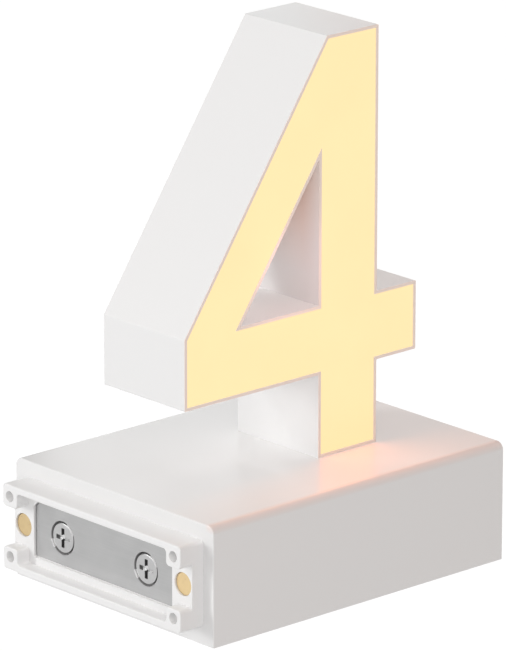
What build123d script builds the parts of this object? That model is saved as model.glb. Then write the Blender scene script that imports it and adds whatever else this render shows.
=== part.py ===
from build123d import *
import math
import os

# Illuminated house number: a lit numeral "4" standing on a white base whose
# ends couple to the next block.  Millimetres, +Z up, front of the digit faces
# -Y, origin in the middle of the base's underside.

# ---------------------------------------------------------------- dimensions
BASE_L, BASE_D, BASE_H = 136.0, 102.2, 43.0      # base block, X, Y, Z
BASE_T = 3.0                                     # wall of the base shell
BASE_R = 3.0                                     # rounding of the long top edges
EDGE_R = 0.45                                    # rounding of the end edges

DIGIT_D = 41.4                                   # depth of the digit
Z_TOP = 193.0                                    # top of the digit
Z_BAR1, Z_BAR2 = 73.1, 97.95                     # crossbar, lower and upper edge
Z_TIP = 98.35                                    # upper end of the left tip
X_TIP, X_ARM = -53.6, 54.1                       # left tip and right arm end
X_S1, X_S2 = 8.1, 35.4                           # stem, left and right side
X_TOP = 11.5                                     # where the diagonal meets the top
Z_APEX, X_CNT = 150.3, -28.2                     # counter: apex height, left corner
RIM = 1.1                                        # rim round the lens
WALL = 2.4                                       # wall of the digit can
LENS_T, LENS_IN, LENS_GAP = 4.0, 0.2, 0.08       # lens thickness, recess, side gap
SEAL_T = 0.5                                     # bead behind the lens
BACK_T = 2.5                                     # back panel

ZC = 21.6                                        # mid height of the couplings
CPL_OUT = 10.35                                  # how far the coupling frame stands out
CPL_FLOOR = 5.0                                  # its floor, above the end wall
CPL_Y, CPL_Z = 46.0, 15.5                        # half width and half height
BAR_T = 2.5                                      # top and bottom bars
POST_Y, POST_Z = 7.4, 8.2                        # corner posts
POST_R = 1.5                                     # their rounded corners
BOLT_Y, BOLT_Z, BOLT_R = 42.3, 10.95, 2.0        # holes in the posts
ZB = 21.9                                        # mid height of those holes
BOLT_L = 5.0                                     # and their depth
PLATE_Y, PLATE_Z, PLATE_C = 35.85, 10.25, 2.0    # grey plate: half sizes, upper corner cut
PLATE_T, PLATE_IN = 3.4, 0.85                    # thickness, depth below the floor
SCR_Y, SCR_HEAD_R, SCR_BORE_R = 21.6, 5.35, 6.05  # the two plate screws
SCR_BORE = 2.3                                   # depth of their counterbores
PAD_Y, PAD_R, PAD_IN = 41.3, 4.1, 0.6            # gold contact discs, depth below the floor

SOCK_Y, SOCK_Z, SOCK_DEPTH = 46.5, 15.95, 10.8   # socket in the right end
SOCK_T = 1.65
TRAVEL = 1.5                                     # travel of the sprung contacts

FIX_X, FIX_Y, FIX_R = 46.0, 26.0, 2.1            # threaded fixing inserts below

XL, XR = -BASE_L / 2, BASE_L / 2
YF, YB = -DIGIT_D / 2, DIGIT_D / 2
XS = (X_S1 + X_S2) / 2                           # middle of the stem

os.makedirs("parts", exist_ok=True)


# ------------------------------------------------------------------- helpers
def box(x0, x1, y0, y1, z0, z1):
    return Pos((x0 + x1) / 2, (y0 + y1) / 2, (z0 + z1) / 2) * Box(x1 - x0, y1 - y0, z1 - z0)


def cyl_x(x0, x1, y, z, r):
    return Pos((x0 + x1) / 2, y, z) * Rot(0, 90, 0) * Cylinder(r, x1 - x0)


def cyl_y(y0, y1, x, z, r):
    return Pos(x, (y0 + y1) / 2, z) * Rot(90, 0, 0) * Cylinder(r, y1 - y0)


def cyl_z(z0, z1, x, y, r):
    return Pos(x, y, (z0 + z1) / 2) * Cylinder(r, z1 - z0)


def prism_y(pts, y0, y1):
    """Outline in X and Z, extruded along Y."""
    face = Face(Wire.make_polygon([Vector(x, y0, z) for x, z in pts], close=True))
    return extrude(face, amount=y1 - y0, dir=(0, 1, 0))


def prism_x(pts, x0, x1):
    """Outline in Y and Z, extruded along X."""
    face = Face(Wire.make_polygon([Vector(x0, y, z) for y, z in pts], close=True))
    return extrude(face, amount=x1 - x0, dir=(1, 0, 0))


def inset(pts, d):
    """Offset a closed outline inwards by d (outwards if d < 0), sharp corners."""
    area = sum(a[0] * b[1] - b[0] * a[1] for a, b in zip(pts, pts[1:] + pts[:1]))
    s = 1.0 if area > 0 else -1.0
    n = len(pts)
    lines = []
    for i in range(n):
        (x0, z0), (x1, z1) = pts[i], pts[(i + 1) % n]
        length = math.hypot(x1 - x0, z1 - z0)
        ux, uz = (x1 - x0) / length, (z1 - z0) / length
        lines.append((x0 - s * uz * d, z0 + s * ux * d, ux, uz))
    out = []
    for i in range(n):
        ax, az, aux, auz = lines[i - 1]
        bx, bz, bux, buz = lines[i]
        det = aux * buz - auz * bux
        t = ((bx - ax) * buz - (bz - az) * bux) / det
        out.append((ax + t * aux, az + t * auz))
    return out


def ring_x(y1, z1, y0, z0, xa, xb, zc):
    """Rectangular ring in the YZ plane."""
    return box(xa, xb, -y1, y1, zc - z1, zc + z1) - box(xa - 1, xb + 1, -y0, y0, zc - z0, zc + z0)


def group(solids):
    return Compound(children=[s for s in solids])


def cross_recess(r, w, depth, foot=0.3):
    """Cross-recess tool: opening at z = 0, running down to z = -depth, where
    its reach is foot times that at the opening."""
    arms = Pos(0, 0, -depth / 2) * (Box(2 * r, w, depth) + Box(w, 2 * r, depth))
    cone = Pos(0, 0, -depth / 2) * Cone(r * foot, r, depth)
    return arms & cone


def pan_screw(head_r, head_h, shank_r, shank_l, rec_r, rec_w, rec_d, rec_foot=0.3):
    """Screw along Z: the head stands on z = 0, the shank runs down."""
    head = Pos(0, 0, head_h / 2) * Cylinder(head_r, head_h)
    head = fillet(head.edges().sort_by(Axis.Z)[-1], min(0.35, head_h * 0.25))
    shank = Pos(0, 0, -shank_l / 2) * Cylinder(shank_r, shank_l)
    tip = shank.edges().sort_by(Axis.Z)[0]
    shank = chamfer(tip, shank_r * 0.35)
    return head + shank - Pos(0, 0, head_h) * cross_recess(rec_r, rec_w, rec_d, rec_foot)


# heads that look the way the screw is turned in from
def facing_mx(s, x, y, z):
    """Head towards -X."""
    return Pos(x, y, z) * Rot(0, -90, 0) * s


def facing_py(s, x, y, z):
    """Head towards +Y."""
    return Pos(x, y, z) * Rot(-90, 0, 0) * s


def facing_my(s, x, y, z):
    """Head towards -Y."""
    return Pos(x, y, z) * Rot(90, 0, 0) * s


def facing_mz(s, x, y, z):
    """Head towards -Z."""
    return Pos(x, y, z) * Rot(180, 0, 0) * s


def wire_along(pts, r, t0, t1):
    path = Spline(*[Vector(*p) for p in pts], tangents=(t0, t1))
    start = Plane(origin=path @ 0, z_dir=path % 0)
    return sweep(start * Circle(r), path=path)


NODES = {}

# ------------------------------------------------------------- digit outline
OUT = [(X_S1, BASE_H), (X_S2, BASE_H), (X_S2, Z_BAR1), (X_ARM, Z_BAR1), (X_ARM, Z_BAR2),
       (X_S2, Z_BAR2), (X_S2, Z_TOP), (X_TOP, Z_TOP), (X_TIP, Z_TIP), (X_TIP, Z_BAR1),
       (X_S1, Z_BAR1)]
CNT = [(X_S1, Z_BAR2), (X_S1, Z_APEX), (X_CNT, Z_BAR2)]


def digit_prism(d, y0, y1):
    """The digit's outline drawn in by d on every edge, counter included."""
    return prism_y(inset(OUT, d), y0, y1) - prism_y(inset(CNT, -d), y0 - 1, y1 + 1)


# screws of the back panel sit in the corners, 5 mm in from the walls
c5 = inset(OUT, 5.0)
BACK_SCR = [c5[0], c5[1], c5[3], c5[4], c5[6], c5[7], c5[8], c5[9],
            (X_S2 - 5.0, 138.0), (-21.0, Z_BAR1 + 5.0),
            ((c5[7][0] + c5[8][0]) / 2, (c5[7][1] + c5[8][1]) / 2)]

# middle line of the diagonal
dx, dz = X_TOP - X_TIP, Z_TOP - Z_TIP
dl = math.hypot(dx, dz)
ux, uz = dx / dl, dz / dl                        # up along the diagonal
nx, nz = uz, -ux                                 # into the stroke
MID_D = 10.3


def diag(s, off):
    """Point on the diagonal stroke: s from the tip upwards, off from its middle."""
    return (X_TIP + ux * s + nx * (MID_D + off), Z_TIP + uz * s + nz * (MID_D + off))


ARM_Z = (Z_BAR1 + Z_BAR2) / 2
BOARD_SCR = [(XS, 72.0), (XS, 122.0), (XS, 178.0), (-37.0, ARM_Z), (45.5, ARM_Z), diag(39.5, 0)]

# ---------------------------------------------------------------- digit can
LEDGE_Y = YF + LENS_IN + LENS_T + SEAL_T         # ledge that carries the lens
BACK_Y = YB - BACK_T                             # inside of the back panel

can = prism_y(OUT, YF, YB)
can = fillet([e for e in can.edges().filter_by(Axis.Y) if e.center().Z > BASE_H + 0.5], 0.4)
can -= prism_y(CNT, YF - 1, YB + 1)
can -= digit_prism(RIM, YF - 1, LEDGE_Y)
can -= digit_prism(WALL, LEDGE_Y - 0.01, BACK_Y + 0.01)
can -= digit_prism(RIM + 0.1, BACK_Y, YB + 1)
# foot: thicker floor, two bosses for the screws from below, way for the lead
can += box(X_S1 + 1.0, X_S2 - 1.0, LEDGE_Y, BACK_Y, BASE_H, BASE_H + 3.4)
FOOT_Y = 10.5
for sy in (-1, 1):
    can += cyl_z(BASE_H, 54.0, XS, sy * FOOT_Y, 5.0)
for sy in (-1, 1):
    can -= cyl_z(BASE_H - 1, 45.0, XS, sy * FOOT_Y, 2.2)
    can -= cyl_z(44.5, 53.0, XS, sy * FOOT_Y, 2.95)
can -= cyl_z(BASE_H - 1, BASE_H + 5, XS, 0, 5.0)
groove = box(X_S1 + 1.8, X_S2 - 1.8, -15.6, 17.6, BASE_H - 1, BASE_H + 0.8)
groove -= box(X_S1 + 3.3, X_S2 - 3.3, -14.1, 16.1, BASE_H - 2, BASE_H + 2)
can -= groove
for x, z in BACK_SCR:
    can += cyl_y(BACK_Y - 6.0, BACK_Y, x, z, 3.2) & prism_y(inset(OUT, 0.6), BACK_Y - 6, BACK_Y)
for x, z in BACK_SCR:
    can -= cyl_y(BACK_Y - 5.0, BACK_Y + 0.5, x, z, 1.25)
# webs behind the led board that carry the wall of the counter
for z in (104.0, 143.0):
    can += box(X_S1 + 1.0, X_S2 - 1.0, 11.2, BACK_Y, z - 0.9, z + 0.9)
can += box(-10.9, -9.1, 11.2, BACK_Y, Z_BAR1 + 1.0, Z_BAR2 - 1.0)
wa, wb = diag(74.0, -MID_D + 1.0), diag(74.0, 20.6 - MID_D - 1.0)
can += prism_y([(wa[0] - ux * 0.9, wa[1] - uz * 0.9), (wa[0] + ux * 0.9, wa[1] + uz * 0.9),
                (wb[0] + ux * 0.9, wb[1] + uz * 0.9), (wb[0] - ux * 0.9, wb[1] - uz * 0.9)], 11.2, BACK_Y)
NODES["digit_shell"] = can

# ---------------------------------------------------------------- lens, bead
lens = digit_prism(RIM + LENS_GAP, YF + LENS_IN, YF + LENS_IN + LENS_T)
NODES["digit_lens"] = lens
bead = digit_prism(RIM + 0.15, LEDGE_Y - SEAL_T, LEDGE_Y) - digit_prism(WALL - 0.1, LEDGE_Y - 1, LEDGE_Y + 1)
NODES["lens_seal"] = bead

# ---------------------------------------------------------------- back panel
panel = digit_prism(RIM + 0.2, BACK_Y, YB)
BOARD_Y0, BOARD_Y1 = 9.0, 10.6                   # led board, front and back
for x, z in BOARD_SCR:
    panel += cyl_y(BOARD_Y1, BACK_Y, x, z, 3.0)
for x, z in BOARD_SCR:
    panel -= cyl_y(BOARD_Y1 - 0.5, BACK_Y + 0.5, x, z, 1.25)
for x, z in BACK_SCR:
    panel -= cyl_y(BACK_Y - 1, YB + 1, x, z, 1.4)
    panel -= cyl_y(YB - 1.3, YB + 1, x, z, 2.45)
NODES["digit_back_panel"] = panel
small = pan_screw(2.25, 1.2, 1.2, 5.6, 1.35, 0.6, 0.8)
NODES["back_panel_screws"] = group([facing_py(small, x, YB - 1.3, z) for x, z in BACK_SCR])

# ----------------------------------------------------------------- led board
board = digit_prism(4.0, BOARD_Y0, BOARD_Y1) - box(-100, 100, 0, 30, 0, 57.0)
for x, z in BOARD_SCR:
    board -= cyl_y(BOARD_Y0 - 1, BOARD_Y1 + 1, x, z, 1.4)
NODES["led_board"] = board
NODES["led_board_screws"] = group([facing_my(pan_screw(2.25, 1.5, 1.2, 6.5, 1.35, 0.6, 0.8), x, BOARD_Y0, z)
                                   for x, z in BOARD_SCR])
spots = []
for i in range(10):
    z = 68.0 + i * 12.6
    for off in (-5.0, 5.0):
        spots.append((XS + off, z))
for i in range(4):
    x = -44.0 + i * 13.6
    for off in (-4.4, 4.4):
        spots.append((x, ARM_Z + off))
for off in (-4.4, 4.4):
    spots.append((40.0, ARM_Z + off))
for i in range(7):
    for off in (-3.4, 3.4):
        spots.append(diag(23.0 + i * 11.0, off))
leds = []
for x, z in spots:
    body = box(x - 1.75, x + 1.75, BOARD_Y0 - 0.8, BOARD_Y0, z - 1.4, z + 1.4)
    leds.append(body - cyl_y(BOARD_Y0 - 1.0, BOARD_Y0 - 0.65, x, z, 1.1))
NODES["led_packages"] = group(leds)
term = box(XS - 4, XS + 4, 4.0, BOARD_Y0, 58.0, 64.0)
for sx in (-1, 1):
    term -= cyl_z(57.5, 60.0, XS + sx * 1.6, 6.5, 1.02)
NODES["led_terminal"] = term

# --------------------------------------------------------------- digit foot
seal = box(X_S1 + 1.9, X_S2 - 1.9, -15.5, 17.5, BASE_H, BASE_H + 0.8)
seal -= box(X_S1 + 3.2, X_S2 - 3.2, -14.2, 16.2, BASE_H - 1, BASE_H + 2)
NODES["foot_seal"] = seal
NODES["foot_inserts"] = group([cyl_z(45.0, 53.0, XS, sy * FOOT_Y, 2.9) - cyl_z(44, 54, XS, sy * FOOT_Y, 2.05)
                               for sy in (-1, 1)])
plate = box(X_S1 + 0.9, X_S2 - 0.9, -19.5, 19.5, 38.0, 40.0)
plate = fillet(plate.edges().filter_by(Axis.Z), 3.0)
for sy in (-1, 1):
    plate -= cyl_z(37, 41, XS, sy * FOOT_Y, 2.2)
plate -= cyl_z(37, 41, XS, 0, 5.0)
NODES["foot_backing_plate"] = plate
m4 = pan_screw(3.9, 2.7, 2.0, 13.5, 2.4, 1.0, 1.6)
NODES["digit_screws"] = group([facing_mz(m4, XS, sy * FOOT_Y, 38.0) for sy in (-1, 1)])
grom = cyl_z(36.0, 38.0, XS, 0, 6.2) + cyl_z(38.0, 47.4, XS, 0, 4.95)
for sx in (-1, 1):
    grom -= cyl_z(35, 48, XS + sx * 1.6, 0, 1.03)
NODES["lead_grommet"] = grom

# --------------------------------------------------------------- base shell
shell = box(XL, XR, -BASE_D / 2, BASE_D / 2, 0, BASE_H)
shell = fillet(shell.edges().filter_by(Axis.X).group_by(Axis.Z)[-1], BASE_R)
ends = [e for e in shell.edges()
        if abs(abs(e.center().X) - BASE_L / 2) < 1e-6 and e.center().Z > 0.5]
shell = fillet(ends, EDGE_R)
cav = box(XL + BASE_T, XR - BASE_T, -BASE_D / 2 + BASE_T, BASE_D / 2 - BASE_T, -1, BASE_H - BASE_T)
cav = fillet(cav.edges().filter_by(Axis.X).group_by(Axis.Z)[-1], 1.2)
shell -= cav
WY = BASE_D / 2 - BASE_T                         # inside of the long walls
WX = XR - BASE_T                                 # inside of the end walls
SOCK_X = XR - SOCK_DEPTH                         # floor of the socket
shell += (box(-WX, WX, -WY, WY, 4.0, 6.5) - box(-WX + 3.5, WX - 3.5, -WY + 3.5, WY - 3.5, 3, 8)
          - box(SOCK_X - 2.4, XR, -60, 60, 3, 9))
COVER_SCR = [(x, sy * 40.0) for x in (-57.0, -10.0, 40.0) for sy in (-1, 1)]
for x, y in COVER_SCR:
    sy = 1 if y > 0 else -1
    shell += cyl_z(3.0, 18.0, x, y, 4.0)
    shell += box(x - 1.25, x + 1.25, min(y, sy * (WY + 0.5)), max(y, sy * (WY + 0.5)), 4.0, 18.0)
TAB_X, TAB_Y = 50.5, 22.0
for sy in (-1, 1):
    shell += cyl_z(ZC + SOCK_Z, 41.0, TAB_X, sy * TAB_Y, 3.5)
for x, y in COVER_SCR:
    shell -= cyl_z(2.0, 15.0, x, y, 1.55)
for sy in (-1, 1):
    shell -= cyl_z(ZC + SOCK_Z - 1, 41.5, TAB_X, sy * TAB_Y, 1.25)
    shell -= cyl_x(XL - 1, XL + BASE_T + 1, sy * SCR_Y, ZC, 2.7)
    shell -= cyl_x(XL - 1, XL + BASE_T + 1, sy * PAD_Y, ZC, 2.2)
    shell -= cyl_z(39, 44, XS, sy * FOOT_Y, 2.2)
shell -= cyl_z(39, 44, XS, 0, 5.0)
mouth = box(XR - BASE_T - 1, XR + 1, -SOCK_Y, SOCK_Y, ZC - SOCK_Z, ZC + SOCK_Z)
mouth = fillet(mouth.edges().filter_by(Axis.X), 1.4)
shell -= mouth
NODES["base_shell"] = shell

# --------------------------------------------------------------- base cover
cover = box(-WX + 0.25, WX - 0.25, -WY + 0.25, WY - 0.25, 0, 3.0)
cover = fillet(cover.edges().filter_by(Axis.Z), 0.8)
POSTS = [(x, sy * 26.0) for x in (-35.0, 27.0) for sy in (-1, 1)]
FIXES = [(sx * FIX_X, sy * FIX_Y) for sx in (-1, 1) for sy in (-1, 1)]
for x, y in POSTS:
    cover += cyl_z(2.5, 10.0, x, y, 3.5)
for x, y in FIXES:
    cover += cyl_z(2.5, 13.0, x, y, 5.0)
for x, y in POSTS:
    cover -= cyl_z(4.0, 11.0, x, y, 1.25)
for x, y in FIXES:
    cover -= cyl_z(-1, 11.0, x, y, 3.2)
for x, y in COVER_SCR:
    cover -= cyl_z(-1, 4, x, y, 1.75)
    cover -= cyl_z(-1, 1.5, x, y, 3.2)
NODES["base_plate"] = cover
NODES["base_plate_seal"] = (box(-WX + 0.4, WX - 0.4, -WY + 0.4, WY - 0.4, 3.0, 4.0)
                            - box(-WX + 3.4, WX - 3.4, -WY + 3.4, WY - 3.4, 2, 5))
m3 = pan_screw(3.0, 1.4, 1.5, 12.0, 1.8, 0.8, 0.95)
NODES["base_plate_screws"] = group([facing_mz(m3, x, y, 1.5) for x, y in COVER_SCR])
NODES["fixing_inserts"] = group([cyl_z(0.4, 10.4, x, y, 3.2) - cyl_z(-1, 12, x, y, FIX_R) for x, y in FIXES])

# ------------------------------------------------- coupling frame, left end
X0 = XL - CPL_OUT                                # front of the frame
XF = XL - CPL_FLOOR                              # its floor
Z_LO, Z_HI = ZC - CPL_Z, ZC + CPL_Z
ring = box(X0, XF, -CPL_Y, CPL_Y, Z_HI - BAR_T, Z_HI) + box(X0, XF, -CPL_Y, CPL_Y, Z_LO, Z_LO + BAR_T)
for sy in (-1, 1):
    ya, yb = sorted((sy * CPL_Y, sy * (CPL_Y - POST_Y)))
    ring += box(X0, XF, ya, yb, Z_HI - POST_Z, Z_HI)
    ring += box(X0, XF, ya, yb, Z_LO, Z_LO + POST_Z)
ring = fillet(ring.edges().filter_by(Axis.X), POST_R)
front = [e for e in ring.edges() if abs(e.center().X - X0) < 1e-6]
ring = fillet(front, 0.45)
slab = box(XF, XL, -CPL_Y, CPL_Y, Z_LO, Z_HI)
slab = fillet(slab.edges().filter_by(Axis.X), POST_R)
frame = ring + slab


def octagon(y, z, c, b=0.4):
    """Plate outline: upper corners cut by c, lower ones only broken by b."""
    return [(-y + b, ZC - z), (y - b, ZC - z), (y, ZC - z + b), (y, ZC + z - c),
            (y - c, ZC + z), (-y + c, ZC + z), (-y, ZC + z - c), (-y, ZC - z + b)]


XP = XF + PLATE_IN                               # front of the grey plate
frame -= prism_x(octagon(PLATE_Y, PLATE_Z, PLATE_C), XF - 1, XP + PLATE_T)
XD = XF + PAD_IN                                 # front of the gold discs
for sy in (-1, 1):
    for sz in (-1, 1):
        frame -= cyl_x(X0 - 1, X0 + BOLT_L, sy * BOLT_Y, ZB + sz * BOLT_Z, BOLT_R)
    frame -= cyl_x(XF - 1, XD + 1.0, sy * PAD_Y, ZC, PAD_R + 0.1)
    frame -= cyl_x(XF - 1, XL + 1, sy * PAD_Y, ZC, 2.2)
    frame -= cyl_x(XF - 1, XL + 1, sy * SCR_Y, ZC, 2.7)
frame -= ring_x(45.1, 14.0, 43.5, 12.4, XL - 0.8, XL + 1, ZC)
NODES["coupling_frame"] = frame
NODES["coupling_seal"] = ring_x(45.0, 13.9, 43.6, 12.5, XL - 0.8, XL, ZC)

grey = prism_x(octagon(PLATE_Y - 0.1, PLATE_Z - 0.1, PLATE_C), XP, XP + PLATE_T)
grey = chamfer([e for e in grey.edges() if abs(e.center().X - XP) < 1e-6], 0.25)
for sy in (-1, 1):
    grey -= cyl_x(XP - 1, XP + PLATE_T + 1, sy * SCR_Y, ZC, 2.7)
    grey -= cyl_x(XP - 1, XP + SCR_BORE, sy * SCR_Y, ZC, SCR_BORE_R)
NODES["coupling_plate"] = grey
m5 = pan_screw(SCR_HEAD_R, 2.2, 2.5, 10.2, 3.5, 1.6, 1.0, 0.97)
NODES["coupling_screws"] = group([facing_mx(m5, XP + SCR_BORE, sy * SCR_Y, ZC) for sy in (-1, 1)])
nutp = box(XL + BASE_T, XL + BASE_T + 4.0, -30.0, 30.0, 14.0, 29.2)
nutp = fillet(nutp.edges().filter_by(Axis.X), 2.0)
for sy in (-1, 1):
    nutp -= cyl_x(XL, XL + 10, sy * SCR_Y, ZC, 2.55)
NODES["coupling_nut_plate"] = nutp

PAD_END = XL + 9.0
disc = Cylinder(PAD_R, 1.0)
disc = fillet(disc.edges().sort_by(Axis.Z)[-1], 0.3)
pads, nuts = [], []
for sy in (-1, 1):
    pads.append(Pos(XD + 0.5, sy * PAD_Y, ZC) * Rot(0, -90, 0) * disc
                + cyl_x(XD + 1.0, PAD_END, sy * PAD_Y, ZC, 2.0))
    hexa = Pos(XL + BASE_T, sy * PAD_Y, ZC) * Rot(0, 90, 0) * extrude(RegularPolygon(4.04, 6), amount=3.2)
    nuts.append(hexa - cyl_x(XL, XL + 9, sy * PAD_Y, ZC, 2.03))
NODES["contact_pads"] = group(pads)
NODES["contact_pad_nuts"] = group(nuts)

# ---------------------------------------------------- socket box, right end
SB0 = SOCK_X - 2.2                               # back of the socket box
zl, zh = ZC - SOCK_Z, ZC + SOCK_Z
sock = box(SB0, WX, -WY + 0.15, WY - 0.15, zl - SOCK_T, zh + SOCK_T)
pocket = box(SOCK_X, WX + 1, -SOCK_Y, SOCK_Y, zl, zh)
pocket = fillet(pocket.edges().filter_by(Axis.X), 1.4)
sock -= pocket
for sy in (-1, 1):
    sock += cyl_x(SOCK_X - 1, SOCK_X + 3.8, sy * PAD_Y, ZC, 4.2)
    ya, yb = sorted((sy * (TAB_Y - 6), sy * (TAB_Y + 6)))
    tab = box(TAB_X - 4.5, SB0 + 0.5, ya, yb, zh - 2.0, zh)
    sock += tab
for sy in (-1, 1):
    sock -= cyl_x(SB0 - 1, SOCK_X + 5, sy * PAD_Y, ZC, 3.02)
    sock -= cyl_z(zh - 3, zh + 1, TAB_X, sy * TAB_Y, 1.7)
    for sz in (-1, 1):
        sock -= cyl_x(SB0 - 1, SOCK_X + 1, sy * BOLT_Y, ZB + sz * BOLT_Z, 2.25)
NODES["socket_box"] = sock
m25 = pan_screw(2.8, 1.8, 1.2, 5.8, 1.5, 0.7, 1.0)
NODES["socket_box_screws"] = group([facing_mz(m25, TAB_X, sy * TAB_Y, zh - 2.0) for sy in (-1, 1)])

# sprung contacts: barrel, plunger, coil spring, all on an axis along X
LIP0, LIP1 = SOCK_X + 3.3, SOCK_X + 4.4          # front lip of the barrel
BORE0 = SOCK_X - 4.0                             # back end of its bore
BAR0 = BORE0 - 1.0


def barrel(y):
    b = cyl_x(BAR0, SOCK_X + 3.8, y, ZC, 3.0) + cyl_x(SOCK_X + 3.8, LIP1, y, ZC, 3.8)
    b += cyl_x(BAR0 - 3.0, BAR0, y, ZC, 1.2)
    b -= cyl_x(BORE0, LIP0, y, ZC, 2.5)
    b -= cyl_x(LIP0 - 0.5, LIP1 + 1, y, ZC, 2.0)
    return b


COL1 = LIP0 - 0.1                                # front of the plunger's collar
COL0 = COL1 - 1.5
TIP = SOCK_X + 7.0                               # tip of the plunger at rest


def plunger(y):
    p = cyl_x(COL0, COL1, y, ZC, 2.45) + cyl_x(COL0 - 1.0, COL0, y, ZC, 1.1)
    nose = cyl_x(COL1, TIP, y, ZC, 1.95)
    nose = fillet(nose.edges().sort_by(Axis.X)[-1], 1.6)
    return p + nose


def coil(y):
    length = COL0 - 0.35 - (BORE0 + 0.3)
    path = Helix(pitch=length / 5.0, height=length, radius=1.72)
    start = Plane(origin=path @ 0, z_dir=path % 0)
    wire = sweep(start * Circle(0.27), path=path, is_frenet=True)
    return Pos(BORE0 + 0.3, y, ZC) * Rot(0, 90, 0) * wire


NODES["plunger_barrels"] = group([barrel(sy * PAD_Y) for sy in (-1, 1)])
NODES["contact_plunger_front"] = plunger(-PAD_Y)
NODES["contact_plunger_rear"] = plunger(PAD_Y)
NODES["plunger_spring_front"] = coil(-PAD_Y)
NODES["plunger_spring_rear"] = coil(PAD_Y)

# ------------------------------------------------------------------- driver
BZ0, BZ1 = 10.0, 11.6
pcb = box(-39.0, 31.0, -30.0, 30.0, BZ0, BZ1)
pcb = fillet(pcb.edges().filter_by(Axis.Z), 2.0)
for x, y in POSTS:
    pcb -= cyl_z(9, 13, x, y, 1.7)
NODES["driver_board"] = pcb
NODES["driver_board_screws"] = group([Pos(x, y, BZ1) * pan_screw(2.8, 1.8, 1.2, 6.8, 1.5, 0.7, 1.0)
                                      for x, y in POSTS])
core = (cyl_z(BZ1, BZ1 + 1.6, -18, -17, 9.0) + cyl_z(BZ1 + 1.6, BZ1 + 9.6, -18, -17, 7.8)
        + cyl_z(BZ1 + 9.6, BZ1 + 11.2, -18, -17, 9.0))
NODES["driver_inductor"] = core
caps = []
for x, y in ((-1.0, -20.0), (11.0, -20.0), (-20.0, 20.0)):
    c = cyl_z(BZ1, BZ1 + 15.0, x, y, 5.0)
    c = fillet(c.edges().sort_by(Axis.Z)[-1], 0.8)
    caps.append(c - (cyl_z(BZ1 + 2.2, BZ1 + 2.8, x, y, 6.0) - cyl_z(BZ1 + 1, BZ1 + 4, x, y, 4.6)))
NODES["driver_capacitors"] = group(caps)
chips = [box(-10, 0, -5, 5, BZ1, BZ1 + 2.2), box(6, 12, -4, 1, BZ1, BZ1 + 1.6),
         box(-24, -16, -3, 3, BZ1, BZ1 + 2.0), box(6, 9, 5, 6.6, BZ1, BZ1 + 0.8),
         box(11, 14, 5, 6.6, BZ1, BZ1 + 0.8), box(-8, -5, 9, 10.6, BZ1, BZ1 + 0.8)]
NODES["driver_chips"] = group(chips)
TZ = BZ1 + 5.0                                   # height of the clamped wires
blocks = []
for x0, x1 in ((-37.5, -29.0), (21.0, 29.5)):
    t = box(x0, x1, -11, 11, BZ1, BZ1 + 10.0)
    for sy in (-1, 1):
        t -= cyl_z(BZ1 + 8.8, BZ1 + 11, (x0 + x1) / 2, sy * 6.0, 2.2)
        if x0 < 0:
            t -= cyl_x(x0 - 1, x0 + 3.0, sy * 6.0, TZ, 1.12)
        else:
            t -= cyl_x(x1 - 3.0, x1 + 1, sy * 6.0, TZ, 1.12)
    blocks.append(t)
t = box(3.0, 15.0, 19.0, 27.5, BZ1, BZ1 + 10.0)
for sx in (-1, 1):
    t -= cyl_z(BZ1 + 8.8, BZ1 + 11, 9.0 + sx * 3.0, 23.2, 2.2)
    t -= cyl_y(18, 22.0, 9.0 + sx * 3.0, TZ, 1.02)
blocks.append(t)
NODES["terminal_blocks"] = group(blocks)

# -------------------------------------------------------------------- leads
plug_leads, sock_leads = [], []
for sy in (-1, 1):
    plug_leads.append(wire_along([(PAD_END, sy * PAD_Y, ZC), (-49.0, sy * 24.0, 20.5), (-38.5, sy * 6.0, TZ)],
                                 1.1, (1, 0, 0), (1, 0, 0)) + cyl_x(-38.5, -34.5, sy * 6.0, TZ, 1.1))
    sock_leads.append(wire_along([(BAR0 - 3.0, sy * PAD_Y, ZC), (40.0, sy * 24.0, 20.5), (30.5, sy * 6.0, TZ)],
                                 1.1, (-1, 0, 0), (-1, 0, 0)) + cyl_x(26.5, 30.5, sy * 6.0, TZ, 1.1))
NODES["bus_leads_plug"] = group(plug_leads)
NODES["bus_leads_socket"] = group(sock_leads)
led_leads = []
for sx in (-1, 1):
    low = wire_along([(9.0 + sx * 3.0, 18.0, TZ), (16.0 + sx * 2.2, 7.0, 24.0), (XS + sx * 1.6, 0, 35.0)],
                     1.0, (0, -1, 0), (0, 0, 1)) + cyl_y(18.0, 22.0, 9.0 + sx * 3.0, TZ, 1.0)
    mid = cyl_z(35.0, 50.0, XS + sx * 1.6, 0, 1.0)
    top = wire_along([(XS + sx * 1.6, 0, 50.0), (XS + sx * 1.6, 6.5, 57.4)], 1.0, (0, 0, 1), (0, 0, 1))
    led_leads.append(low + mid + top + cyl_z(57.4, 60.0, XS + sx * 1.6, 6.5, 1.0))
NODES["led_lead"] = group(led_leads)

# ------------------------------------------------------------------- export
for name, shape in NODES.items():
    export_step(shape, "parts/" + name + ".step")
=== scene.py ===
import math

import bpy
from mathutils import Matrix, Vector


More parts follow.
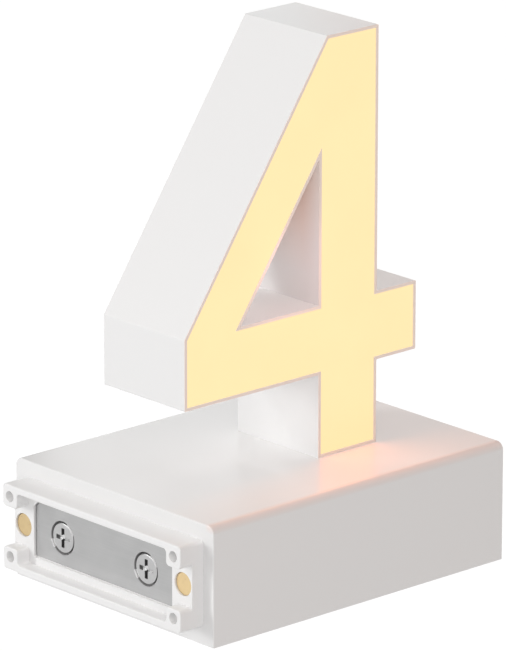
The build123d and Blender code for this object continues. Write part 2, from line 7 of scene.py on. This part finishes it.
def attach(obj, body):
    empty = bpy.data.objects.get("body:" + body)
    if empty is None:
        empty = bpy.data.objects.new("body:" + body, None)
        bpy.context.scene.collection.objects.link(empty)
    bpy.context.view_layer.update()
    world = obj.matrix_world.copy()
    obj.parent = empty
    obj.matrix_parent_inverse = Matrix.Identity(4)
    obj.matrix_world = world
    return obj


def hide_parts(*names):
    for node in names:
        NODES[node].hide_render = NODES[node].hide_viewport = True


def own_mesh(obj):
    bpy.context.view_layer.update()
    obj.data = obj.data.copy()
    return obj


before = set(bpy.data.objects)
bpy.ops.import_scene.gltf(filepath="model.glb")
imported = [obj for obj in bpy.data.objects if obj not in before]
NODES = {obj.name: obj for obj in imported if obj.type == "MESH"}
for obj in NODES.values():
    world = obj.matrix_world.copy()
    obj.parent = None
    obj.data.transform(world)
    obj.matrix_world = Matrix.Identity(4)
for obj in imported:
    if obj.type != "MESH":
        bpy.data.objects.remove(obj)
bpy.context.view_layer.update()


# ------------------------------------------------------------ material tools
class Mat:
    """A Principled material with a few procedural helpers, in object space."""

    def __init__(self, name):
        self.m = bpy.data.materials.new(name)
        self.m.use_nodes = True
        self.t = self.m.node_tree
        self.p = self.t.nodes["Principled BSDF"]
        self.coord = self.t.nodes.new("ShaderNodeTexCoord").outputs["Object"]

    def set(self, **kw):
        for k, v in kw.items():
            self.p.inputs[k.replace("_", " ")].default_value = v
        return self

    def node(self, kind, **props):
        n = self.t.nodes.new(kind)
        for k, v in props.items():
            setattr(n, k, v)
        return n

    def link(self, a, b):
        self.t.links.new(a, b)

    def stretched(self, x, y, z):
        n = self.node("ShaderNodeMapping")
        n.inputs["Scale"].default_value = (x, y, z)
        self.link(self.coord, n.inputs["Vector"])
        return n.outputs["Vector"]

    def noise(self, scale, detail=2.0, rough=0.5, vec=None):
        n = self.node("ShaderNodeTexNoise")
        n.inputs["Scale"].default_value = scale
        n.inputs["Detail"].default_value = detail
        n.inputs["Roughness"].default_value = rough
        self.link(vec if vec is not None else self.coord, n.inputs["Vector"])
        return n.outputs["Fac"]

    def ramp(self, fac, stops):
        n = self.node("ShaderNodeValToRGB")
        e = n.color_ramp.elements
        e[0].position, e[0].color = stops[0]
        e[1].position, e[1].color = stops[-1]
        for pos, col in stops[1:-1]:
            k = e.new(pos)
            k.color = col
        self.link(fac, n.inputs["Fac"])
        return n.outputs["Color"]

    def span(self, fac, lo, hi, a=0.3, b=0.7):
        n = self.node("ShaderNodeMapRange")
        n.inputs["From Min"].default_value = a
        n.inputs["From Max"].default_value = b
        n.inputs["To Min"].default_value = lo
        n.inputs["To Max"].default_value = hi
        self.link(fac, n.inputs["Value"])
        return n.outputs["Result"]

    def bump(self, fac, strength, distance, base=None):
        n = self.node("ShaderNodeBump")
        n.inputs["Strength"].default_value = strength
        n.inputs["Distance"].default_value = distance
        self.link(fac, n.inputs["Height"])
        if base is not None:
            self.link(base, n.inputs["Normal"])
        return n.outputs["Normal"]

    def math(self, op, a, b=0.0):
        n = self.node("ShaderNodeMath", operation=op)
        for k, v in ((0, a), (1, b)):
            if isinstance(v, (int, float)):
                n.inputs[k].default_value = v
            else:
                self.link(v, n.inputs[k])
        return n.outputs[0]

    def xyz(self, vec=None):
        n = self.node("ShaderNodeSeparateXYZ")
        self.link(vec if vec is not None else self.coord, n.inputs[0])
        return n.outputs

    def blend(self, fac, a, b):
        """Colour a where fac is 0, colour b where it is 1."""
        n = self.node("ShaderNodeMix", data_type="RGBA")
        self.link(fac, n.inputs["Factor"])
        for k, v in ((6, a), (7, b)):
            if isinstance(v, tuple):
                n.inputs[k].default_value = v
            else:
                self.link(v, n.inputs[k])
        return n.outputs[2]

    def times(self, a, fac):
        """Colour a darkened or lightened by a grey factor."""
        n = self.node("ShaderNodeMix", data_type="RGBA", blend_type="MULTIPLY")
        n.inputs["Factor"].default_value = 1.0
        self.link(a, n.inputs[6])
        self.link(fac, n.inputs[7])
        return n.outputs[2]

    def colour(self, out):
        self.link(out, self.p.inputs["Base Color"])

    def rough(self, out):
        self.link(out, self.p.inputs["Roughness"])

    def normal(self, out):
        self.link(out, self.p.inputs["Normal"])


def g(v, warm=0.0):
    return (v * (1 + warm), v, v * (1 - warm), 1.0)


# ----------------------------------------------------------------- materials
def white_plastic(name, level, rough, warm=0.004, rim=None, edge=False):
    """Moulded white plastic with a fine grain in tone and gloss.
    In front of y = rim the thin lip is tinted warm and given a faint warm emission,
    a painted glow, and the stem's wall in the narrow top of the counter has painted
    warm light in its colour. With edge, the base's front top edge has painted warm light too."""
    m = Mat(name)
    body = m.ramp(m.noise(2400.0, 1.0), [(0.25, g(level * 0.998, warm)), (0.75, g(level * 1.002, warm * 0.5))])
    if edge:
        x, y, z = m.xyz()
        # painted warm light: the base's front top edge is tinted peach, standing in for the glow of the lit face
        near = m.math("MULTIPLY", m.span(y, 1.0, 0.0, -0.0488, -0.0466), m.span(z, 0.0, 1.0, 0.0402, 0.0424))
        body = m.blend(near, body, (level * 1.025, level * 0.915, level * 0.88, 1.0))
    if rim is not None:
        x, y, z = m.xyz()
        # painted warm light on the stem's wall in the narrow top of the counter: lighter and yellower towards the apex,
        # warm pink along its front strip
        wall = m.math("MULTIPLY", m.math("GREATER_THAN", x, 0.0079), m.math("LESS_THAN", x, 0.0083))
        wall = m.math("MULTIPLY", wall, m.math("LESS_THAN", z, 0.153))
        body = m.blend(m.math("MULTIPLY", wall, m.span(z, 0.0, 1.0, 0.120, 0.140)), body,
                       (level * 1.20, level * 1.06, level * 0.99, 1.0))
        wall = m.math("MULTIPLY", wall, m.span(z, 0.0, 1.0, 0.108, 0.138))
        wall = m.math("MULTIPLY", wall, m.span(y, 0.0, 1.0, -0.0195, -0.0125))
        body = m.blend(wall, body, (level * 0.96, level * 0.74, level * 0.64, 1.0))
        # painted glow: the thin lip in front of y = rim is tinted warm and faintly emits warm light, though it is no
        # lamp
        lip = m.math("LESS_THAN", y, rim)
        body = m.blend(lip, body, (level, level * 0.95, level * 0.91, 1.0))
        m.link(m.blend(lip, (0.0, 0.0, 0.0, 1.0), (0.10, 0.035, 0.008, 1.0)), m.p.inputs["Emission Color"])
        m.set(Emission_Strength=1.0)
    m.colour(body)
    m.rough(m.span(m.noise(1800.0, 1.0), rough - 0.003, rough + 0.003, 0.2, 0.8))
    m.set(IOR=1.49)
    return m.m


def lens_mat():
    """Opal acrylic, lit from behind: even, with a faint random cloudiness in its glow."""
    m = Mat("opal_lens_lit")
    cloud = m.noise(38.0, 2.0)
    m.colour(m.ramp(cloud, [(0.3, (0.10, 0.09, 0.05, 1)), (0.7, (0.11, 0.10, 0.055, 1))]))
    glow = m.ramp(cloud, [(0.25, (0.960, 0.734, 0.384, 1)), (0.75, (0.980, 0.750, 0.394, 1))])
    m.link(glow, m.p.inputs["Emission Color"])
    m.set(Emission_Strength=1.0, IOR=1.49)
    m.rough(m.span(m.noise(300.0, 2.0), 0.34, 0.42))
    m.normal(m.bump(m.noise(1800.0, 2.0), 0.04, 0.00003))
    return m.m


SCREW_Y, SCREW_Z = 0.0216, 0.0216


def satin_metal(name, lo, hi, rough, along, metallic=1.0, tint=(1, 1, 1), recess=False, bore=False):
    """Satin metal with fine drawing lines along one axis. recess paints shade into the
    upright slots of the two cross recesses and their end walls that face -Y, and a
    painted highlight into their middle and onto the head's edge; bore paints the walls
    of the two counterbores a flat grey with painted light on one side, painted shade
    towards the plate's top, a painted shadow line along its far edge and painted light
    along its lower edge. Either has one painted glint at the counterbore's edge."""
    m = Mat(name)
    s = {"x": (60, 2600, 2600), "y": (2600, 60, 2600), "z": (2600, 2600, 60)}[along]
    lines = m.noise(1.0, 3.0, 0.6, m.stretched(*s))
    blot = m.noise(140.0, 3.0)
    mix = m.node("ShaderNodeMix", data_type="FLOAT")
    mix.inputs["Factor"].default_value = 0.45
    m.link(lines, mix.inputs["A"])
    m.link(blot, mix.inputs["B"])
    fac = mix.outputs["Result"]
    c = lambda v: (v * tint[0], v * tint[1], v * tint[2], 1)
    body = m.ramp(fac, [(0.32, c(lo)), (0.68, c(hi))])
    m.set(Metallic=metallic)
    if recess or bore:
        x, y, z = m.xyz()
        u = m.math("SUBTRACT", m.math("ABSOLUTE", y), SCREW_Y)
        side = m.math("SIGN", y)
        v = m.math("SUBTRACT", z, SCREW_Z)
        r = m.math("SQRT", m.math("ADD", m.math("MULTIPLY", u, u), m.math("MULTIPLY", v, v)))
        w = m.math("MULTIPLY", u, side)
        # painted glint: a bright spot at one angle on each counterbore's edge, lower towards +Y; painted light: the
        # side opposite, up towards -Y, is marked pale
        along_painted_glint = m.math("ADD", m.math("MULTIPLY", w, 0.866), m.math("MULTIPLY", v, -0.5))
        painted_glint = m.math("GREATER_THAN", along_painted_glint, m.math("MULTIPLY", r, 0.968))
        along_pale = m.math("ADD", m.math("MULTIPLY", w, -0.695), m.math("MULTIPLY", v, 0.72))
        pale = m.math("GREATER_THAN", along_pale, m.math("MULTIPLY", r, 0.90))
    if recess:
        nrm = m.xyz(m.node("ShaderNodeTexCoord").outputs["Normal"])
        inside = m.math("MULTIPLY", m.math("GREATER_THAN", x, -0.07198), m.math("LESS_THAN", r, 0.0040))
        # painted highlight in the middle, then painted shade in the upright slots
        mid = m.math("LESS_THAN", m.math("ABSOLUTE", m.math("SUBTRACT", w, 0.00095)), 0.00105)
        mid = m.math("MULTIPLY", mid, m.math("LESS_THAN", m.math("ABSOLUTE", v), 0.0010))
        body = m.blend(m.math("MULTIPLY", inside, mid), body, (0.66, 0.66, 0.66, 1.0))
        tall = m.math("GREATER_THAN", m.math("ABSOLUTE", m.math("SUBTRACT", v, 0.00011)), 0.00071)
        tall = m.math("MULTIPLY", tall, m.math("LESS_THAN", m.math("ABSOLUTE", m.math("SUBTRACT", w, 0.00055)), 0.0004))
        slot = m.math("MULTIPLY", inside, tall)
        body = m.blend(slot, body, (0.055, 0.055, 0.055, 1.0))
        # painted shade on the end walls of the recesses that face -Y
        end = m.math("MULTIPLY", m.math("LESS_THAN", m.math("ABSOLUTE", v), 0.0009), m.math("LESS_THAN", nrm[1], -0.35))
        end = m.math("MULTIPLY", m.math("MULTIPLY", end, inside), m.math("GREATER_THAN", r, 0.00125))
        body = m.blend(end, body, (0.10, 0.10, 0.10, 1.0))
        # painted highlight on the head's edge at the glint and on the pale side
        edge = m.math("MULTIPLY", painted_glint, m.math("GREATER_THAN", r, 0.0048))
        edge = m.math("MAXIMUM", edge, m.math("MULTIPLY", pale, m.math("GREATER_THAN", r, 0.0052)))
        body = m.blend(edge, body, (0.72, 0.72, 0.72, 1.0))
        # the metal is switched off where shade or highlight is painted, so the painted tone shows
        painted_light_and_shade = m.math("MAXIMUM", m.math("MAXIMUM", slot, end), edge)
        m.link(m.math("SUBTRACT", 1.0, painted_light_and_shade), m.p.inputs["Metallic"])
    if bore:
        # painted shade and light: the plate lighter at its lower edge and darker towards its top, more steeply towards
        # its far (+Y) side
        even = m.math("MULTIPLY", m.span(z, 1.03, 0.90, 0.0130, 0.0170), m.span(z, 1.0, 0.972, 0.0170, 0.0285))
        steep = m.span(z, 1.07, 0.765, 0.0125, 0.0315)
        far = m.math("MULTIPLY", m.span(y, 0.0, 1.0, 0.0245, 0.0305), m.math("SUBTRACT", steep, even))
        body = m.times(body, m.math("ADD", even, far))
        # painted shadow: a dark line along the plate's far (+Y) edge
        body = m.blend(m.math("GREATER_THAN", y, 0.0354), body, (0.10, 0.10, 0.10, 1.0))
        # painted light: the plate's lower edge, below z = 11.72 mm, made pale and not metallic
        lower = m.math("LESS_THAN", z, 0.01172)
        body = m.blend(lower, body, (0.90, 0.90, 0.90, 1.0))
        # the counterbore walls a flat grey, with painted light on their pale side
        wall = m.math("LESS_THAN", r, 0.0061)
        body = m.blend(wall, body, m.blend(pale, (0.30, 0.30, 0.30, 1.0), (0.90, 0.90, 0.90, 1.0)))
        # painted glint on the counterbore's edge, as on the screw head
        painted_glint = m.math("MULTIPLY", painted_glint, m.math("LESS_THAN", r, 0.0064))
        body = m.blend(painted_glint, body, (0.74, 0.74, 0.74, 1.0))
        # the metal is switched off where shade, light or a glint is painted
        painted_light_and_shade = m.math("MAXIMUM", m.math("MAXIMUM", wall, painted_glint), lower)
        m.link(m.math("SUBTRACT", 1.0, painted_light_and_shade), m.p.inputs["Metallic"])
    m.colour(body)
    m.rough(m.span(fac, rough - 0.05, rough + 0.06))
    m.normal(m.bump(lines, 0.05, 0.00003))
    return m.m


def turned_metal(name, lo, hi, rough, painted_light_fade=None):
    """Plated or turned metal with a light cloudiness. The last argument grades the tone
    along Y as painted light, from the first pad to the second: the -Y pad lighter, the +Y pad darker."""
    m = Mat(name)
    cloud = m.noise(420.0, 3.0, 0.6)
    body = m.ramp(cloud, [(0.3, lo + (1,)), (0.7, hi + (1,))])
    if painted_light_fade is not None:
        # painted light: the near (-Y) pad lighter, the far (+Y) pad darker
        body = m.times(body, m.span(m.xyz()[1], painted_light_fade[0], painted_light_fade[1], -0.0413, 0.0413))
    m.colour(body)
    m.rough(m.span(cloud, rough - 0.05, rough + 0.07))
    m.normal(m.bump(m.noise(3000.0, 2.0), 0.05, 0.00002))
    m.set(Metallic=1.0)
    return m.m


def plain(name, lo, hi, rough, scale=300.0, bump=0.08):
    """Moulded or dipped non-metal with a fine grain."""
    m = Mat(name)
    n = m.noise(scale, 3.0)
    m.colour(m.ramp(n, [(0.3, lo + (1,)), (0.7, hi + (1,))]))
    m.rough(m.span(n, rough - 0.05, rough + 0.06))
    m.normal(m.bump(m.noise(scale * 6, 2.0), bump, 0.00003))
    return m.m


WHITE_BASE = white_plastic("white_plastic_base", 0.80, 0.27, edge=True)
WHITE_DIGIT = white_plastic("white_plastic_digit", 0.80, 0.36, rim=-0.0205)
WHITE_FRAME = white_plastic("white_plastic_frame", 0.82, 0.38)
LENS = lens_mat()
PLATE = satin_metal("zinc_plate", 0.44, 0.50, 0.46, "y", bore=True)
SCREW = satin_metal("zinc_screw", 0.50, 0.58, 0.34, "x")
SCREW_VISIBLE = satin_metal("zinc_screw_coupling", 0.445, 0.51, 0.34, "x", recess=True)
INNER_STEEL = satin_metal("inner_steel", 0.46, 0.54, 0.42, "x")
GOLD = turned_metal("gold_plate", (0.66, 0.50, 0.275), (0.71, 0.545, 0.30), 0.32, (1.06, 0.92))
BRASS = turned_metal("turned_brass", (0.66, 0.49, 0.22), (0.74, 0.56, 0.27), 0.36)
SPRING = turned_metal("drawn_wire", (0.50, 0.50, 0.50), (0.60, 0.60, 0.60), 0.3)
SILICONE = plain("silicone", (0.62, 0.62, 0.60), (0.70, 0.70, 0.68), 0.5)
RUBBER = plain("black_rubber", (0.018, 0.018, 0.018), (0.03, 0.03, 0.03), 0.65, 500.0)
BOARD_W = plain("white_mask_board", (0.78, 0.78, 0.76), (0.84, 0.84, 0.82), 0.38)
BOARD_G = plain("green_mask_board", (0.010, 0.085, 0.030), (0.016, 0.115, 0.045), 0.32)
LEDS = plain("led_phosphor", (0.78, 0.58, 0.10), (0.86, 0.66, 0.16), 0.3, 900.0)
TERMINAL = plain("terminal_green", (0.02, 0.14, 0.06), (0.03, 0.18, 0.08), 0.45)
LEAD = plain("lead_red", (0.33, 0.012, 0.010), (0.42, 0.02, 0.016), 0.42)
FERRITE = plain("ferrite", (0.02, 0.02, 0.021), (0.035, 0.034, 0.033), 0.6, 800.0)
CAN = turned_metal("drawn_can", (0.58, 0.58, 0.60), (0.68, 0.68, 0.70), 0.3)
CHIP = plain("epoxy_black", (0.012, 0.012, 0.012), (0.022, 0.022, 0.022), 0.5, 900.0)

FINISH = {
    "digit_shell": WHITE_DIGIT, "digit_back_panel": WHITE_DIGIT, "digit_lens": LENS,
    "base_shell": WHITE_BASE, "base_plate": WHITE_FRAME, "coupling_frame": WHITE_FRAME,
    "socket_box": WHITE_FRAME,
    "coupling_plate": PLATE, "coupling_screws": SCREW_VISIBLE, "base_plate_screws": SCREW,
    "back_panel_screws": SCREW, "led_board_screws": SCREW, "digit_screws": SCREW,
    "socket_box_screws": SCREW, "driver_board_screws": SCREW,
    "coupling_nut_plate": INNER_STEEL, "foot_backing_plate": INNER_STEEL,
    "contact_pads": GOLD, "contact_plunger_front": GOLD, "contact_plunger_rear": GOLD,
    "contact_pad_nuts": BRASS, "plunger_barrels": BRASS, "foot_inserts": BRASS,
    "fixing_inserts": BRASS,
    "plunger_spring_front": SPRING, "plunger_spring_rear": SPRING,
    "lens_seal": SILICONE, "foot_seal": SILICONE, "base_plate_seal": SILICONE,
    "coupling_seal": SILICONE, "lead_grommet": RUBBER,
    "led_board": BOARD_W, "driver_board": BOARD_G, "led_packages": LEDS,
    "led_terminal": BOARD_W, "terminal_blocks": TERMINAL,
    "led_lead": LEAD, "bus_leads_plug": LEAD, "bus_leads_socket": LEAD,
    "driver_inductor": FERRITE, "driver_capacitors": CAN, "driver_chips": CHIP,
}
for name, ob in NODES.items():
    if not ob.material_slots:
        ob.data.materials.append(None)
    for s in ob.material_slots:
        s.material = FINISH[name]

# The coil springs are copied into pieces of their own and attached to the block; their nodes are hidden.
for end in ("front", "rear"):
    node, joint = "plunger_spring_" + end, "plunger_" + end + "_slide"
    coil = bpy.data.objects.new("coil_" + end, NODES[node].data.copy())
    bpy.context.scene.collection.objects.link(coil)
    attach(coil, "block")
    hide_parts(node)
    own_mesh(coil)

# --------------------------------------------------------------------- stage
bpy.ops.mesh.primitive_plane_add(size=12.0, location=(0, 0, -0.0004))
floor = bpy.context.object
floor.name = "floor"
fm = Mat("floor_white")
fm.set(Roughness=0.9, Emission_Strength=0.95)
fm.colour(fm.ramp(fm.noise(3.0), [(0.3, g(0.10)), (0.7, g(0.11))]))
fm.p.inputs["Emission Color"].default_value = (1, 1, 1, 1)
fm.p.inputs["Specular IOR Level"].default_value = 0.0
floor.data.materials.append(fm.m)
floor.visible_diffuse = False

world = bpy.data.worlds.new("studio")
bpy.context.scene.world = world
world.use_nodes = True
bg = world.node_tree.nodes["Background"]
bg.inputs["Color"].default_value = (1, 1, 1, 1)
bg.inputs["Strength"].default_value = 0.125


def area(name, loc, aim, size, energy, colour=(1, 1, 1), size_y=None):
    d = bpy.data.lights.new(name, "AREA")
    d.energy, d.color, d.size = energy, colour, size
    if size_y:
        d.shape, d.size_y = "RECTANGLE", size_y
    o = bpy.data.objects.new(name, d)
    bpy.context.scene.collection.objects.link(o)
    o.location = loc
    o.rotation_euler = (Vector(aim) - Vector(loc)).to_track_quat("-Z", "Y").to_euler()
    o.visible_camera = False
    return o


def from_dir(az, el, dist, aim=(0, 0, 0.08)):
    """Place at a bearing: az from -X towards +Y, el above the floor, in degrees."""
    a, e = math.radians(az), math.radians(el)
    return Vector(aim) + dist * Vector((-math.cos(e) * math.cos(a), math.cos(e) * math.sin(a), math.sin(e)))


MID = (0, 0, 0.08)
key = area("key", from_dir(34, 10, 1.8), MID, 0.35, 7.5, size_y=0.4)
key_high = area("key_high", from_dir(34, 26, 1.8), MID, 0.35, 5.4, size_y=0.4)
left = area("left", from_dir(5, 3, 1.8), MID, 1.2, 5.5, size_y=0.5)
front = area("front", from_dir(-60, 20, 1.8), MID, 1.5, 13.2, (1.0, 0.965, 0.955))
front_right = area("front_right", from_dir(-120, 20, 1.8), MID, 1.5, 1.9, (1.0, 0.48, 0.22))
top = area("top", (0, 0, 2.2), (0, 0, 0), 1.6, 19.5, (1.0, 0.98, 0.965))
top.data.use_shadow = False
backdrop = area("backdrop", (1.9, 2.1, 0.8), (0, 0, 0.1), 3.2, 20.2, size_y=1.6)
backdrop.visible_glossy = False
bounce = area("bounce", (0, 0, -0.0002), (0, 0, 1), 5.0, 41.0)
bounce.visible_glossy = False

# Cards behind the part that only its sheen picks up.
card = area("card", (0.140, 0.2, 0.18), (0.140, 0.0, 0.18), 0.14, 0.140, size_y=0.30)
card_warm = area("card_warm", (0.305, 0.2, 0.18), (0.305, 0.0, 0.18), 0.19, 0.158, (1.0, 0.74, 0.66), 0.30)
card_high = area("card_high", (0.205, 0.2, 0.285), (0.205, 0.0, 0.285), 0.13, 0.092, (0.80, 1.0, 1.06), 0.10)
for o in (card, card_warm, card_high):
    o.visible_diffuse = False

# Warm spill of the lit face: flat lights just in front of it.
MM = 0.001
SPILL = (1.0, 0.100, 0.055)


def spill(name, x0, x1, z0, z1, radiance):
    w, h = (x1 - x0) * MM, (z1 - z0) * MM
    c = Vector(((x0 + x1) / 2, -21.0, (z0 + z1) / 2)) * MM
    return area(name, c, c + Vector((0, -1, 0)), w, radiance * math.pi * w * h, SPILL, h)


spill("spill_stem", 8.6, 34.9, 43.5, 192.0, 1.25)
spill("spill_bar_left", -52.0, 8.0, 74.0, 97.0, 1.25)
spill("spill_bar_right", 35.6, 53.0, 74.0, 97.0, 1.25)

# Small warm fill through the counter.
counter = area("counter_fill", Vector((-6, -30, 113)) * MM, Vector((4, 20, 106)) * MM, 0.03, 0.0020,
               (1.0, 0.47, 0.43), 0.03)
counter.visible_glossy = False

# The same for the corner between stem and crossbar.
under = area("under_fill", Vector((-6, -16, 62)) * MM, Vector((8.6, -16, 72)) * MM, 0.012, 0.00016,
             (1.0, 0.93, 0.91))
under_low = area("under_fill_low", Vector((-20, -14, 50)) * MM, Vector((8.6, -14, 74)) * MM, 0.02, 0.0006,
                 (1.0, 0.95, 0.94))
under.visible_glossy = under_low.visible_glossy = False

# -------------------------------------------------------------------- camera
AZ, EL, ROLL = math.radians(-42.3406), math.radians(17.1319), math.radians(0.05)
back = Vector((math.sin(AZ) * math.cos(EL), -math.cos(AZ) * math.cos(EL), math.sin(EL)))
right = Vector((math.cos(AZ), math.sin(AZ), 0.0))
up = back.cross(right)
place = (Vector((60.0, 40.0, 95.0)) + back * 2112.08 + right * -4.246 + up * -2.749
         - Vector((68.0, 51.1, 0.0))) / 1000.0
cam_data = bpy.data.cameras.new("camera")
cam = bpy.data.objects.new("camera", cam_data)
bpy.context.scene.collection.objects.link(cam)
m = Matrix((right, up, back)).transposed().to_4x4() @ Matrix.Rotation(ROLL, 4, "Z")
m.translation = place
cam.matrix_world = m
cam_data.sensor_fit = "VERTICAL"
cam_data.sensor_height = 36.0
cam_data.lens = 6167.66 / 651.0 * 36.0
cam_data.clip_start, cam_data.clip_end = 0.05, 50.0
bpy.context.scene.camera = cam

vs = bpy.context.scene.view_settings
vs.view_transform = "Standard"
vs.look = "None"
vs.exposure, vs.gamma = 0.0, 1.0
